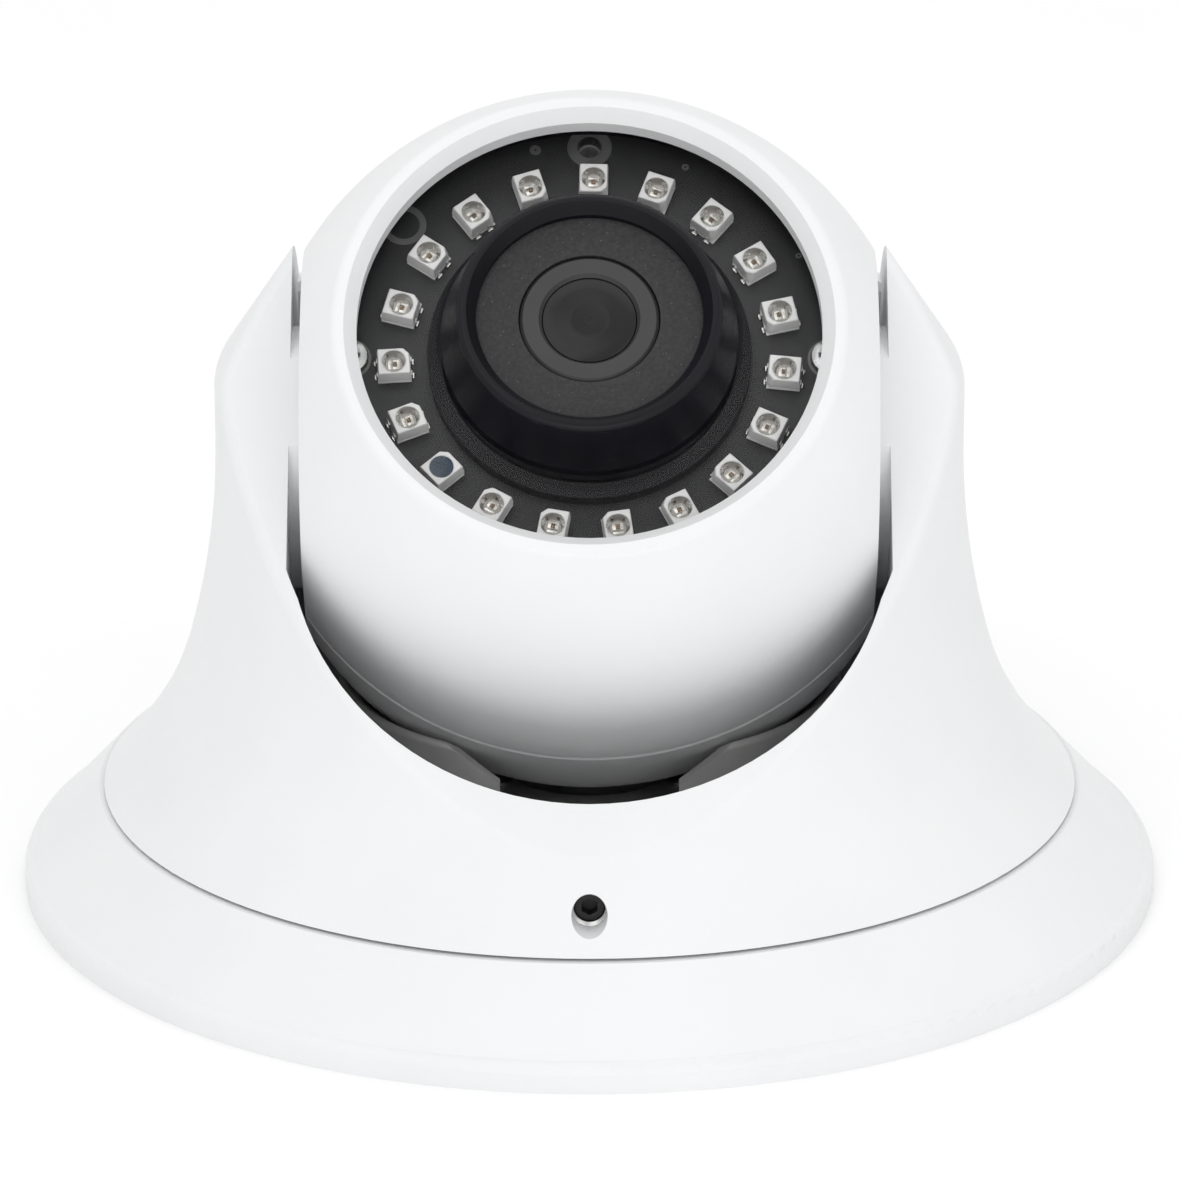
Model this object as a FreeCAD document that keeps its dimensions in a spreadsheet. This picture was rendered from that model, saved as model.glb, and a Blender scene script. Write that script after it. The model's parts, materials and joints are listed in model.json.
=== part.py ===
import FreeCAD, Part
import math
import os
import re
import Sketcher
from FreeCAD import Placement, Rotation, Vector

# A turret-style dome camera: a screwed-down base flange, a bell-shaped shroud that turns on it,
# and an eyeball that tilts between the shroud's two sides. Millimetres, +Z up from the back face
# of the base, -Y to the front. Everything in the eyeball is drawn upright about its own axis,
# with its centre at the origin, and then placed on the lens axis.

DIMENSIONS = {
    # base flange
    "flange_radius": 56.1,
    "rim_height": 1.8,
    "rim_shoulder": 2.9,
    "rim_round": 1.3,
    "flange_height": 9.9,
    "deck_radius": 48.6,
    "neck_radius": 40.6,
    "neck_wall": 1.8,
    "neck_top": 14.6,
    "floor_height": 3.0,
    "hub_bore": 8.6,
    "hub_radius": 11.8,
    "hub_top": 9.9,
    "gasket_inner": 49.5,
    "gasket_width": 3.0,
    "gasket_depth": 1.3,
    "mount_circle": 35.0,
    "mount_hole": 2.3,
    # shroud
    "shroud_bottom": 10.2,
    "skirt_radius": 48.1,
    "skirt_bore": 41.0,
    "skirt_bore_top": 15.2,
    "waist_height": 24.0,
    "waist_radius": 39.6,
    "tube_radius": 36.5,
    "tube_start": 46.0,
    "shoulder_height": 50.9,
    "roof_start": 35.6,
    "shroud_top": 65.2,
    "roof_end": 28.0,
    "shroud_bore": 34.4,
    "rear_rim": 56.5,
    "rear_rim_bore": 32.3,
    "cheek_gap": 28.9,
    "cheek_bottom": 30.0,
    "opening_distance": 11.9,
    "slot_radius": 28.7,
    "slot_drop": 13.5,
    "opening_round": 1.5,
    # eyeball
    "ball_height": 43.2,
    "ball_radius": 32.3,
    "ball_bore": 25.3,
    "ball_wall": 2.8,
    "flat_half": 27.5,
    "gland_hole": 5.0,
    "lens_elevation": 45.0,
    "barrel_length": 7.2,
    "bezel_front": 28.6,
    "bezel_radius": 24.2,
    "window_radius": 22.0,
    "cover_radius": 25.0,
    "cover_back": 24.4,
    "cover_thickness": 1.0,
    "gasket_thickness": 0.5,
    "board_front": 21.0,
    "board_thickness": 1.6,
    "bracket_front": 18.4,
    "bracket_thickness": 1.5,
    "bracket_radius": 25.2,
    "board_screw_circle": 22.9,
    # light board
    "led_circle": 18.6,
    "led_length": 3.2,
    "led_width": 2.8,
    "led_height": 1.9,
    "led_cavity": 1.2,
    # lens
    "hood_radius": 14.1,
    "hood_front_radius": 12.5,
    "hood_front": 31.2,
    "lens_head_radius": 6.6,
    "lens_thread_radius": 6.0,
    "lens_front": 29.4,
    "glass_radius": 4.45,
    # main board
    "main_board_radius": 19.0,
    "main_board_front": 3.5,
    "standoff_circle": 16.6,
    # seat under the ball
    "seat_radius": 24.8,
    "seat_inner": 23.2,
    "seat_rim": 21.0,
    "seat_floor": 5.6,
    # pivots
    "pin_radius": 4.0,
    "pin_inner": 27.3,
    "pin_outer": 34.0,
    "boss_radius": 12.8,
    "boss_face": 27.8,
    # lock screw
    "lock_height": 13.3,
    "lock_hole": 1.7,
}

LED_PLACES = 19
SENSOR_PLACE = 12
LED_PHASE = 1.2

doc = FreeCAD.newDocument("dome_camera")
sheet = doc.addObject("Spreadsheet::Sheet", "Dims")
for row, (alias, size) in enumerate(DIMENSIONS.items(), start=1):
    sheet.set("A%d" % row, alias)
    sheet.set("B%d" % row, str(size))
    sheet.setAlias("B%d" % row, alias)
doc.recompute()

nodes = []


def bound(expression):
    """The expression with every named dimension pointed at its cell."""
    return re.sub(
        r"[a-z_]+",
        lambda word: "Dims." + word.group() if word.group() in DIMENSIONS else word.group(),
        str(expression),
    )


def value(expression):
    """What an expression of named dimensions comes to, in millimetres or degrees."""
    result = sheet.evalExpression(bound(expression))
    return float(getattr(result, "Value", result))


def bind(thing, prop, expression):
    """Set one property from the sheet, and keep it tied to it."""
    thing.setExpression(prop, bound(expression))


def upright():
    return Placement()


def on_lens_axis():
    """From the eyeball's upright frame to where it looks at rest."""
    tilt = Rotation(Vector(1, 0, 0), 90 - value("lens_elevation"))
    return Placement(Vector(0, 0, value("ball_height")), tilt)


def keep(label, thing, place):
    """Name a finished sub-part, put it in its place and list it for export."""
    thing.Label = label
    thing.Placement = place
    nodes.append(thing)
    return thing


# ---- sketches and solids -------------------------------------------------------------------

def pin_point(sketch, index, end, across, up):
    """Hold one sketch point at two sizes from the sheet."""
    for kind, axis, expression in (("DistanceX", -2, across), ("DistanceY", -1, up)):
        if abs(value(expression)) < 1e-9:
            sketch.addConstraint(Sketcher.Constraint("PointOnObject", index, end, axis))
            continue
        number = sketch.addConstraint(Sketcher.Constraint(kind, index, end, value(expression)))
        sketch.setExpression("Constraints[%d]" % number, bound(expression))


def arc_between(first, last, radius, side):
    """The shorter arc between two points; side +1 curves round a centre on the left."""
    chord = last - first
    half = chord.Length / 2
    normal = Vector(-chord.y, chord.x, 0).normalize()
    centre = (first + last) / 2 + normal * side * math.sqrt(radius * radius - half * half)
    start, stop = (first, last) if side > 0 else (last, first)
    angles = [math.atan2(point.y - centre.y, point.x - centre.x) for point in (start, stop)]
    if angles[1] < angles[0]:
        angles[1] += 2 * math.pi
    return Part.ArcOfCircle(Part.Circle(centre, Vector(0, 0, 1), radius), angles[0], angles[1])


def draw_outline(sketch, outline):
    """A closed outline of (across, up) or, where an arc arrives, (across, up, radius, side)."""
    points = [Vector(value(entry[0]), value(entry[1]), 0) for entry in outline]
    ends = []
    for place, entry in enumerate(outline):
        before = points[place - 1]
        if len(entry) == 2:
            index = sketch.addGeometry(Part.LineSegment(before, points[place]))
            ends.append((index, 1, 2))
            continue
        radius, side = entry[2], entry[3]
        index = sketch.addGeometry(arc_between(before, points[place], value(radius), side))
        ends.append((index, 1, 2) if side > 0 else (index, 2, 1))
        number = sketch.addConstraint(Sketcher.Constraint("Radius", index, value(radius)))
        sketch.setExpression("Constraints[%d]" % number, bound(radius))
    for place, entry in enumerate(outline):
        index, _, finish = ends[place]
        following, start, _ = ends[(place + 1) % len(ends)]
        sketch.addConstraint(Sketcher.Constraint("Coincident", index, finish, following, start))
        pin_point(sketch, index, finish, entry[0], entry[1])


def sketch_on(body, name, role, outline, offset="0"):
    """A sketch of one closed outline on one of the body's own origin planes."""
    sketch = body.newObject("Sketcher::SketchObject", name)
    plane = [item for item in body.Origin.OriginFeatures if item.Role == role][0]
    sketch.AttachmentSupport = [(plane, "")]
    sketch.MapMode = "FlatFace"
    bind(sketch, "AttachmentOffset.Base.z", offset)
    draw_outline(sketch, outline)
    return sketch


def turned(name, outline):
    """A body turned about Z from an outline of (radius, height)."""
    body = doc.addObject("PartDesign::Body", name)
    sketch = sketch_on(body, name + "_outline", "XZ_Plane", outline)
    feature = body.newObject("PartDesign::Revolution", name + "_turned")
    feature.Profile = sketch
    feature.ReferenceAxis = (sketch, ["V_Axis"])
    feature.Angle = 360
    body.Tip = feature
    return body


def ring_outline(inner, outer, bottom, top):
    return [(inner, bottom), (outer, bottom), (outer, top), (inner, top)]


def block(name, length, width, height, x="0", y="0", z="0"):
    """A box centred on (x, y) that stands on z."""
    box = doc.addObject("Part::Box", name)
    bind(box, "Length", length)
    bind(box, "Width", width)
    bind(box, "Height", height)
    bind(box, "Placement.Base.x", "%s - (%s) / 2" % (x, length))
    bind(box, "Placement.Base.y", "%s - (%s) / 2" % (y, width))
    bind(box, "Placement.Base.z", z)
    return box


def rod(name, radius, length, x="0", y="0", z="0", along=Vector(0, 0, 1)):
    """A cylinder that starts at a point and runs along one direction."""
    cylinder = doc.addObject("Part::Cylinder", name)
    bind(cylinder, "Radius", radius)
    bind(cylinder, "Height", length)
    cylinder.Placement = Placement(Vector(), Rotation(Vector(0, 0, 1), along))
    bind(cylinder, "Placement.Base.x", x)
    bind(cylinder, "Placement.Base.y", y)
    bind(cylinder, "Placement.Base.z", z)
    return cylinder


def joined(name, things):
    fuse = doc.addObject("Part::MultiFuse", name)
    fuse.Shapes = things
    return fuse


def cut_from(name, base, tools):
    cut = doc.addObject("Part::Cut", name)
    cut.Base = base
    cut.Tool = tools[0] if len(tools) == 1 else joined(name + "_tools", tools)
    return cut


def group(name, things):
    """Separate solids kept side by side in one sub-part."""
    compound = doc.addObject("Part::Compound", name)
    compound.Links = things
    return compound


def on_circle(radius, angle):
    """Expressions for a point on a circle, the angle clockwise from +Y."""
    return "(%s) * sin(%s)" % (radius, angle), "(%s) * cos(%s)" % (radius, angle)


def circle_of_rods(name, count, circle, radius, length, z, start=0.0):
    """Equal cylinders standing on a circle."""
    rods = []
    for number in range(count):
        x, y = on_circle(circle, start + 360.0 / count * number)
        rods.append(rod("%s_%d" % (name, number), radius, length, x, y, z))
    return rods


def swing(things, radius, angle, z):
    """Turn drawn-at-origin pieces to a place on a circle, facing outwards."""
    turn = Rotation(Vector(0, 0, 1), -angle)
    out = turn.multVec(Vector(0, radius, 0))
    shape = Part.makeCompound([thing.Shape for thing in things])
    shape.Placement = Placement(Vector(out.x, out.y, z), turn)
    return shape


# ---- base: stays on the ceiling or wall ----------------------------------------------------

def base_flange():
    body = turned("flange_casting", [
        ("hub_bore", "0"),
        ("gasket_inner", "0"),
        ("gasket_inner", "gasket_depth"),
        ("gasket_inner + gasket_width", "gasket_depth"),
        ("gasket_inner + gasket_width", "0"),
        ("flange_radius", "0"),
        ("flange_radius", "rim_height"),
        ("flange_radius - 0.95", "rim_shoulder", "rim_round", 1),
        ("deck_radius", "flange_height"),
        ("neck_radius", "flange_height"),
        ("neck_radius", "neck_top"),
        ("neck_radius - neck_wall", "neck_top"),
        ("neck_radius - neck_wall", "floor_height"),
        ("hub_radius", "floor_height"),
        ("hub_radius", "hub_top"),
        ("hub_bore", "hub_top"),
    ])
    holes = circle_of_rods("mount_hole", 3, "mount_circle", "mount_hole", "floor_height + 2", "-1")
    taps = circle_of_rods("washer_tap", 3, "(hub_bore + hub_radius) / 2", "0.8", "5", "hub_top - 4")
    keep("base_flange", cut_from("flange_holed", body, holes + taps), upright())


def base_gasket():
    ring = ring_outline("gasket_inner + 0.05", "gasket_inner + gasket_width - 0.05", "0", "1.2")
    keep("base_gasket", turned("gasket_ring", ring), upright())


def swivel_washer():
    ring = ring_outline("hub_bore + 0.2", "15.5", "hub_top", "hub_top + 1.2")
    holes = circle_of_rods("washer_hole", 3, "(hub_bore + hub_radius) / 2", "0.85", "3", "hub_top - 0.5")
    keep("swivel_washer", cut_from("washer_holed", turned("washer_ring", ring), holes), upright())


def swivel_screws():
    middle = "(hub_bore + hub_radius) / 2"
    heads = circle_of_rods("washer_head", 3, middle, "1.3", "0.35", "hub_top + 1.2")
    shanks = circle_of_rods("washer_shank", 3, middle, "0.78", "4.2", "hub_top - 3")
    screws = [joined("washer_screw_%d" % n, [heads[n], shanks[n]]) for n in range(3)]
    keep("swivel_screws", group("washer_screws", screws), upright())


# ---- turning part: shroud, ball seat and lock screw ------------------------------------------

def bell_solid():
    """The shroud's outside: flared skirt, straight tube and conical roof, filled in."""
    return turned("bell_outside", [
        ("0", "shroud_bottom"),
        ("skirt_radius", "shroud_bottom"),
        ("waist_radius", "waist_height", "31.1", -1),
        ("tube_radius", "tube_start", "77.4", -1),
        ("tube_radius", "shoulder_height"),
        ("roof_start", "shoulder_height + 3", "5", 1),
        ("roof_end", "shroud_top"),
        ("0", "shroud_top"),
    ])


def bell_space():
    """The room inside the shroud. Above cheek_bottom it is only as wide as the ball's flats,
    which leaves a thick cheek at each side, and at the back it is open above rear_rim."""
    round_space = turned("bell_inside", [
        ("0", "shroud_bottom - 1"),
        ("skirt_bore", "shroud_bottom - 1"),
        ("skirt_bore", "skirt_bore_top + 1"),
        ("waist_radius - 1.7", "waist_height - 2"),
        ("waist_radius - 2.9", "waist_height + 10"),
        ("shroud_bore", "tube_start"),
        ("shroud_bore", "rear_rim - 5.5"),
        ("rear_rim_bore", "rear_rim - 1"),
        ("rear_rim_bore", "rear_rim + 1"),
        ("0", "rear_rim + 1"),
    ])
    above = block("above_rim", "120", "120", "20", "0", "0", "rear_rim")
    between = block("between_cheeks", "2 * cheek_gap", "120", "60", "0", "0", "cheek_bottom")
    below = block("below_cheeks", "120", "120", "cheek_bottom", "0", "0", "0")
    space = doc.addObject("Part::Common", "bell_space")
    space.Base = joined("bell_room", [round_space, above])
    space.Tool = joined("space_limits", [between, below])
    return space


def front_opening():
    """What the slanted front takes away: everything beyond a plane square to the lens axis,
    and a round-ended slot that runs back from it along the axis."""
    beyond = block("beyond_plane", "140", "140", "60", "0", "0", "opening_distance")
    slot_end = rod("slot_end", "slot_radius", "60", "0", "-slot_drop")
    slot_sides = block("slot_sides", "2 * slot_radius", "60", "60", "0", "30 - slot_drop")
    opening = group("front_opening", [joined("opening_tools", [beyond, slot_end, slot_sides])])
    opening.Placement = on_lens_axis()
    return opening


def opening_rim(shape):
    """The edges round the outside of the slanted opening."""
    to_lens_axis = on_lens_axis().inverse()
    rim = []
    for edge in shape.Edges:
        first, last = edge.FirstParameter, edge.LastParameter
        start, middle, end = [to_lens_axis.multVec(edge.valueAt(first + (last - first) * share))
                              for share in (0, 0.5, 1)]
        in_plane = all(abs(point.z - value("opening_distance")) < 0.001 for point in (start, middle, end))
        below_centre = min(middle.y + value("slot_drop"), 0)
        from_slot = math.hypot(middle.x, below_centre) - value("slot_radius")
        if in_plane and from_slot > 0.45:
            rim.append(edge)
    return rim


def shroud():
    """The bell, opened at the front, with a round boss inside each cheek for a pivot pin."""
    hollow = cut_from("bell_hollow", bell_solid(), [bell_space()])
    bosses = [pin_rod("boss", side, "boss_radius", "boss_face", "cheek_gap + 2") for side in (-1, 1)]
    sockets = [pin_rod("pin_socket", side, "pin_radius + 0.05", "boss_face - 1", "pin_outer + 0.1")
               for side in (-1, 1)]
    plane = block("boss_trim", "140", "140", "60", "0", "0", "opening_distance")
    trim = group("boss_trimming", [plane])
    trim.Placement = on_lens_axis()
    opened = cut_from("bell_opened", hollow, [front_opening()])
    bossed = joined("bell_bossed", [opened] + bosses)
    lock_hole = rod("lock_way", "lock_hole", "20", "0", "-35", "lock_height", Vector(0, -1, 0))
    sharp = cut_from("bell_sharp", bossed, [trim, lock_hole] + sockets)
    doc.recompute()
    casting = sharp.Shape.Solids[0]
    rounded = doc.addObject("Part::Feature", "bell_rounded")
    rounded.Shape = casting.makeFillet(value("opening_round"), opening_rim(casting))
    keep("shroud", rounded, upright())


def pin_rod(name, side, radius, inner, outer):
    """A cylinder on the tilt axis, from one distance to another, on one side."""
    return rod("%s_%d" % (name, side + 1), radius, "%s - (%s)" % (outer, inner),
               "%d * (%s)" % (side, inner), "0", "ball_height", Vector(side, 0, 0))


def ball_seat():
    """A cup under the ball that turns on the hub, open at the front and at the back."""
    cup = turned("seat_cup", [
        ("hub_radius + 0.06", "floor_height + 0.3"),
        ("16", "floor_height + 0.3"),
        ("16", "seat_floor"),
        ("seat_radius", "seat_floor"),
        ("seat_radius", "seat_rim - 0.6"),
        ("seat_radius - 0.6", "seat_rim", "0.6", 1),
        ("seat_inner", "ball_height - sqrt((ball_radius + 0.3) ^ 2 - seat_inner ^ 2)"),
        ("seat_inner", "seat_floor + 2.4"),
        ("16", "seat_floor + 2.4"),
        ("16", "hub_top - 0.2"),
        ("hub_radius + 0.06", "hub_top - 0.2"),
    ])
    gap = doc.addObject("PartDesign::Body", "seat_gap")
    wedge = sketch_on(gap, "seat_gap_outline", "XZ_Plane", [
        ("-8.6", "seat_floor + 2.4"),
        ("8.6", "seat_floor + 2.4"),
        ("8.6", "seat_rim - 3.2"),
        ("13.7", "seat_rim"),
        ("13.7", "seat_rim + 4"),
        ("-13.7", "seat_rim + 4"),
        ("-13.7", "seat_rim"),
        ("-8.6", "seat_rim - 3.2"),
    ], "2")
    pad = gap.newObject("PartDesign::Pad", "seat_gap_through")
    pad.Profile = wedge
    pad.Length = 30
    back = block("seat_back_gap", "12", "20", "20", "0", "20", "seat_floor + 2.4")
    keep("ball_seat", cut_from("seat_gapped", cup, [gap, back]), upright())


def lock_screw():
    grub = rod("grub", "lock_hole - 0.1", "2.2", "0", "-neck_radius - 0.15", "lock_height", Vector(0, -1, 0))
    socket = doc.addObject("Part::Prism", "grub_socket")
    socket.Polygon = 6
    socket.Circumradius = 0.85
    socket.Height = 3
    facing = Rotation(Vector(0, 0, 1), Vector(0, -1, 0))
    socket.Placement = Placement(Vector(0, -value("neck_radius + 1.3"), value("lock_height")), facing)
    keep("lock_screw", cut_from("grub_socketed", grub, [socket]), upright())


def pivots():
    """Pins that stand out of the ball's flats and turn in the shroud's bosses."""
    pins = [pin_rod("pivot_pin", side, "pin_radius", "pin_inner", "pin_outer") for side in (-1, 1)]
    keep("pivot_pins", group("pins", pins), upright())


# ---- eyeball: housings and window --------------------------------------------------------------

def flattened(name, body):
    """A housing with its sides cut flat and a shallow round recess for each pivot pin."""
    tools = []
    for side in (-1, 1):
        tools.append(block("%s_flat_%d" % (name, side + 1), "10", "90", "90",
                           "%d * (flat_half + 5)" % side, "0", "-45"))
        tools.append(rod("%s_recess_%d" % (name, side + 1), "pin_radius", "5",
                         "%d * pin_inner" % side, "0", "0", Vector(side, 0, 0)))
    return cut_from(name, body, tools)


def front_housing():
    lip_back = "cover_back + cover_thickness + gasket_thickness"
    body = turned("front_shell", [
        ("ball_radius - 0.3", "0"),
        ("ball_radius", "0.3"),
        ("ball_radius", "barrel_length"),
        ("bezel_radius + 0.35", "barrel_length + sqrt(ball_radius ^ 2 - (bezel_radius + 0.35) ^ 2)",
         "ball_radius", 1),
        ("bezel_radius - 0.3", "bezel_front", "1.2", 1),
        ("bezel_radius - 1", "bezel_front"),
        ("window_radius", "bezel_front - 1.1"),
        ("window_radius", lip_back),
        ("cover_radius + 0.2", lip_back),
        ("cover_radius + 0.2", "bracket_front + 0.1"),
        ("ball_bore", "bracket_front + 0.1"),
        ("ball_bore", "2"),
        ("ball_bore + 0.7", "2"),
        ("ball_bore + 0.7", "0"),
    ])
    keep("front_housing", flattened("front_flattened", body), on_lens_axis())


def rear_housing():
    inside = "(ball_radius - ball_wall)"
    body = turned("rear_shell", [
        ("ball_radius - 0.3", "0"),
        ("ball_bore + 1.5", "0"),
        ("ball_bore + 1.5", "-0.7"),
        ("ball_bore + 0.8", "-0.7"),
        ("ball_bore + 0.8", "0"),
        ("ball_bore + 0.6", "0"),
        ("ball_bore + 0.6", "1.9"),
        ("ball_bore - 0.9", "1.9"),
        ("ball_bore - 0.9", "-sqrt(%s ^ 2 - (ball_bore - 0.9) ^ 2)" % inside),
        ("gland_hole", "-sqrt(%s ^ 2 - gland_hole ^ 2)" % inside, inside, -1),
        ("gland_hole", "-sqrt(ball_radius ^ 2 - gland_hole ^ 2)"),
        ("sqrt(ball_radius ^ 2 - 0.3 ^ 2)", "-0.3", "ball_radius", 1),
    ])
    keep("rear_housing", flattened("rear_flattened", body), on_lens_axis())


def housing_oring():
    ring = doc.addObject("Part::Torus", "seal_ring")
    bind(ring, "Radius1", "ball_bore + 1.15")
    bind(ring, "Radius2", "0.34")
    bind(ring, "Placement.Base.z", "-0.35")
    keep("housing_oring", group("seal", [ring]), on_lens_axis())


def cable_gland():
    """Rubber bush in the back of the eyeball, where the lead goes in."""
    outer = "-sqrt(ball_radius ^ 2 - gland_hole ^ 2)"
    flange = "-sqrt((ball_radius - ball_wall) ^ 2 - (gland_hole + 1.4) ^ 2) + 0.05"
    body = turned("gland", [
        ("1.9", outer + " + 0.1"),
        ("gland_hole - 0.9", outer + " + 0.1"),
        ("gland_hole - 0.05", outer + " + 0.7"),
        ("gland_hole - 0.05", flange),
        ("gland_hole + 1.4", flange),
        ("gland_hole + 1.4", flange + " + 1.5"),
        ("1.9", flange + " + 1.5"),
    ])
    keep("cable_gland", body, on_lens_axis())


def window():
    cover = ring_outline("hood_radius + 0.4", "cover_radius", "cover_back", "cover_back + cover_thickness")
    keep("window_cover", turned("cover", cover), on_lens_axis())
    gasket = ring_outline("window_radius + 0.5", "cover_radius", "cover_back + cover_thickness",
                          "cover_back + cover_thickness + gasket_thickness")
    keep("window_gasket", turned("cover_gasket", gasket), on_lens_axis())
    spacer = ring_outline("cover_radius - 0.7", "cover_radius + 0.1", "board_front", "cover_back")
    notches = circle_of_rods("spacer_notch", 2, "board_screw_circle", "2.1", "1.2", "board_front", 90)
    keep("window_spacer", cut_from("spacer_notched", turned("cover_spacer", spacer), notches), on_lens_axis())


# ---- eyeball: light board ------------------------------------------------------------------------

def led_board():
    disc = turned("light_board", ring_outline("12.2", "cover_radius", "board_front - board_thickness",
                                              "board_front"))
    holes = circle_of_rods("board_hole", 4, "board_screw_circle", "1.15", "3",
                           "board_front - board_thickness - 0.5")
    keep("led_board", cut_from("light_board_holed", disc, holes), on_lens_axis())


def led_seed():
    """One light package at the origin: its case with a round cavity, terminals and resin."""
    case_box = block("led_case_box", "led_width", "led_length", "led_height")
    cavity = rod("led_cavity_tool", "led_cavity", "2", "0", "0", "led_height - 0.9")
    case = cut_from("led_case", case_box, [cavity])
    resin = rod("led_resin_seed", "led_cavity", "0.85", "0", "0", "led_height - 0.9")
    terminals = []
    for side in (-1, 1):
        middle = "%d * (led_length / 2 + 0.15)" % side
        terminals.append(block("led_terminal_%d" % (side + 1), "2.1", "0.3", "0.7", "0", middle))
    doc.recompute()
    return case, resin, terminals


def led_angle(place):
    return LED_PHASE + 360.0 / LED_PLACES * place


def light_packages():
    """A ring of equal packages, one of which is the light sensor."""
    case, resin, terminals = led_seed()
    places = [place for place in range(LED_PLACES) if place != SENSOR_PLACE]
    for label, seeds, used in (
        ("led_packages", [case], places),
        ("led_resin", [resin], places),
        ("light_sensor", [case], [SENSOR_PLACE]),
        ("sensor_resin", [resin], [SENSOR_PLACE]),
        ("led_leads", terminals, range(LED_PLACES)),
    ):
        shapes = [swing(seeds, value("led_circle"), led_angle(place), value("board_front"))
                  for place in used]
        feature = doc.addObject("Part::Feature", label + "_ring")
        feature.Shape = Part.makeCompound([solid for shape in shapes for solid in shape.Solids])
        keep(label, feature, on_lens_axis())


def screws_on_circle(label, count, circle, start, head, shank, joint):
    """Equal screws: head and shank are (radius, length), joint is the height where they meet.
    A head of negative length hangs below the joint, and its shank then rises from it."""
    solids = []
    heads = circle_of_rods(label + "_head", count, circle, head[0], "abs(%s)" % head[1],
                           "%s + min(%s, 0)" % (joint, head[1]), start)
    shanks = circle_of_rods(label + "_shank", count, circle, shank[0], "abs(%s)" % shank[1],
                            "%s + min(%s, 0)" % (joint, shank[1]), start)
    for number in range(count):
        solids.append(joined("%s_%d" % (label, number), [heads[number], shanks[number]]))
    keep(label, group(label + "_set", solids), on_lens_axis())


def module_bracket():
    disc = turned("bracket_disc", ring_outline("8.4", "bracket_radius",
                                               "bracket_front - bracket_thickness", "bracket_front"))
    posts = circle_of_rods("bracket_post", 4, "board_screw_circle", "2",
                           "board_front - board_thickness - bracket_front + 0.5", "bracket_front - 0.5")
    taps = circle_of_rods("bracket_tap", 4, "board_screw_circle", "0.95", "6", "bracket_front - 3")
    plate = joined("bracket_posted", [disc] + posts)
    keep("module_bracket", cut_from("bracket_tapped", plate, taps), on_lens_axis())


def retaining_ring():
    back = "bracket_front - bracket_thickness"
    ring = turned("thread_ring", ring_outline("23", "ball_bore - 0.05", back + " - 2.1", back))
    slots = [block("spanner_slot_%d" % (side + 1), "3", "3", "1.2", "%d * 24.6" % side, "0", back + " - 2.2")
             for side in (-1, 1)]
    keep("retaining_ring", cut_from("thread_ring_slotted", ring, slots), on_lens_axis())


# ---- eyeball: lens -------------------------------------------------------------------------------

def lens_hood():
    body = turned("hood", [
        ("12.4", "board_front + 0.05"),
        ("hood_radius + 1.3", "board_front + 0.05"),
        ("hood_radius + 1.3", "board_front + 1.4"),
        ("hood_radius", "board_front + 1.9"),
        ("hood_radius", "hood_front - 5.6"),
        ("hood_front_radius + 0.1", "hood_front - 0.7"),
        ("hood_front_radius - 0.6", "hood_front", "0.7", 1),
        ("hood_front_radius - 0.9", "hood_front"),
        ("hood_front_radius - 1.8", "lens_front + 0.6"),
        ("hood_front_radius - 1.8", "lens_front"),
        ("hood_front_radius - 1.1", "lens_front"),
        ("hood_front_radius - 1.1", "hood_front - 4.4"),
        ("12.4", "hood_front - 6.4"),
    ])
    keep("lens_hood", body, on_lens_axis())
    disc = ring_outline("lens_head_radius + 0.1", "hood_front_radius - 1.2", "lens_front - 1", "lens_front")
    keep("baffle_disc", turned("baffle", disc), on_lens_axis())


def lens_barrel():
    body = turned("barrel", [
        ("glass_radius - 0.55", "main_board_front + 2.9"),
        ("lens_thread_radius", "main_board_front + 2.9"),
        ("lens_thread_radius", "lens_front - 8.1"),
        ("lens_head_radius", "lens_front - 8.1"),
        ("lens_head_radius", "lens_front - 0.3"),
        ("lens_head_radius - 0.3", "lens_front"),
        ("glass_radius + 0.35", "lens_front"),
        ("glass_radius + 0.05", "lens_front - 0.35"),
        ("glass_radius + 0.05", "lens_front - 3.4"),
        ("glass_radius - 0.55", "lens_front - 3.4"),
    ])
    keep("lens_barrel", body, on_lens_axis())


def glass(name, radius, back, front, curve):
    """A lens element, flat behind and part of a sphere in front."""
    disc = rod(name + "_disc", radius, "%s - (%s)" % (front, back), "0", "0", back)
    ball = doc.addObject("Part::Sphere", name + "_curve")
    bind(ball, "Radius", curve)
    ball.Placement = Placement(Vector(), Rotation(Vector(1, 0, 0), 90))
    bind(ball, "Placement.Base.z", "%s - (%s)" % (front, curve))
    lens = doc.addObject("Part::Common", name + "_ground")
    lens.Base = disc
    lens.Tool = ball
    return lens


def lens_elements():
    front = glass("front_glass", "glass_radius", "lens_front - 3.4", "lens_front - 0.2", "24")
    keep("front_lens", group("front_glass_only", [front]), on_lens_axis())
    stop = ring_outline("1.7", "glass_radius - 0.6", "lens_front - 6.8", "lens_front - 6.4")
    keep("aperture_ring", turned("stop", stop), on_lens_axis())
    rear = glass("rear_glass", "glass_radius - 0.6", "main_board_front + 3.6", "main_board_front + 6.8", "7.9")
    keep("rear_lens", group("rear_glass_only", [rear]), on_lens_axis())


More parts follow.
